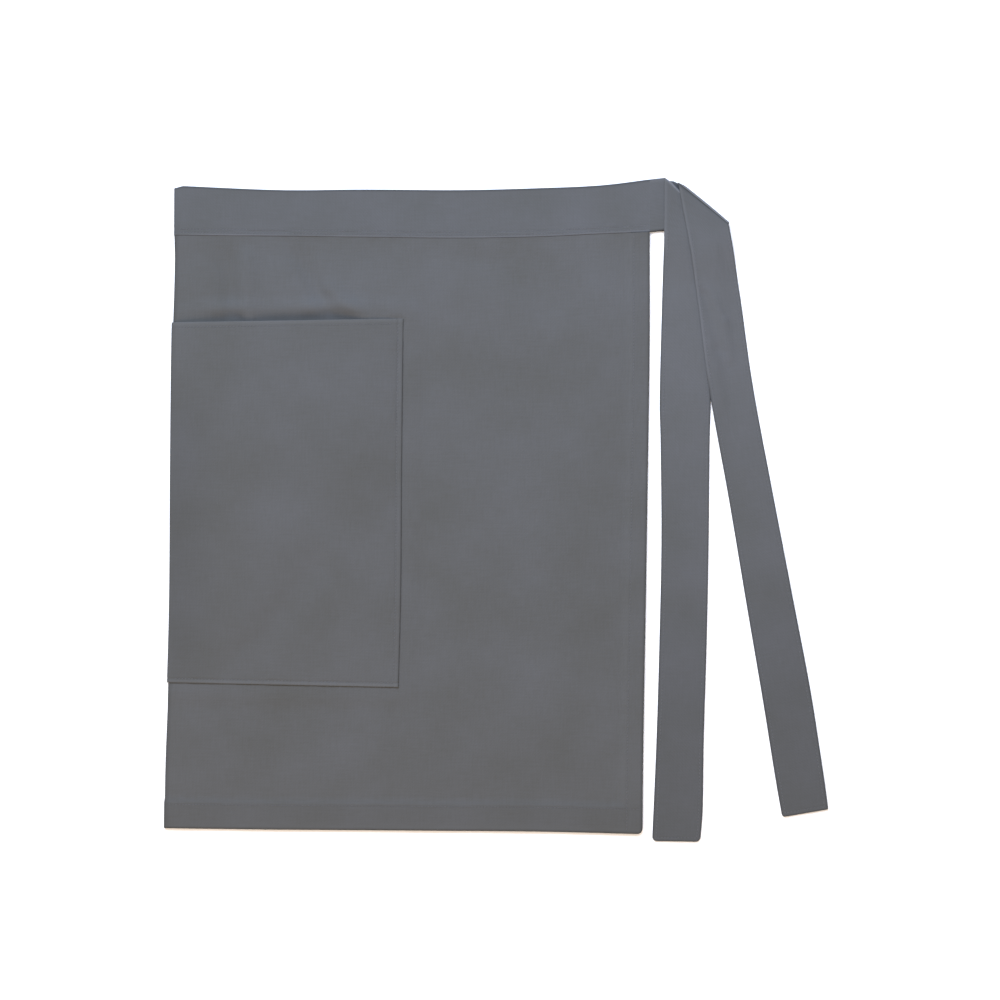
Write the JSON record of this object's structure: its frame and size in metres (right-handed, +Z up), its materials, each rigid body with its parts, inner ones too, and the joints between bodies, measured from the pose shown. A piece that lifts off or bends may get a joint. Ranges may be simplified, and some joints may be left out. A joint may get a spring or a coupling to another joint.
{
  "type": "waist apron folded in half",
  "caption": "Cloth waist apron folded in half and laid flat, with a wide patch pocket across the fold, a doubled waistband and long ties turned down beside the body.",
  "frame": {"origin": "middle of the bounding box's footprint, on the surface the apron lies on", "axes": "+Z up from the surface, +Y from the bottom hem towards the waistband, +X from the centre fold towards the ties"},
  "size_m": [0.621, 0.6194, 0.0121],
  "materials": {
    "twill": "matte cotton twill",
    "band_twill": "matte cotton twill, doubled"
  },
  "bodies": {
    "root": {"body_panel": "twill", "pocket": "twill", "waistband": "band_twill", "front_tie": "band_twill", "back_tie": "band_twill"}
  },
  "joints": []
}
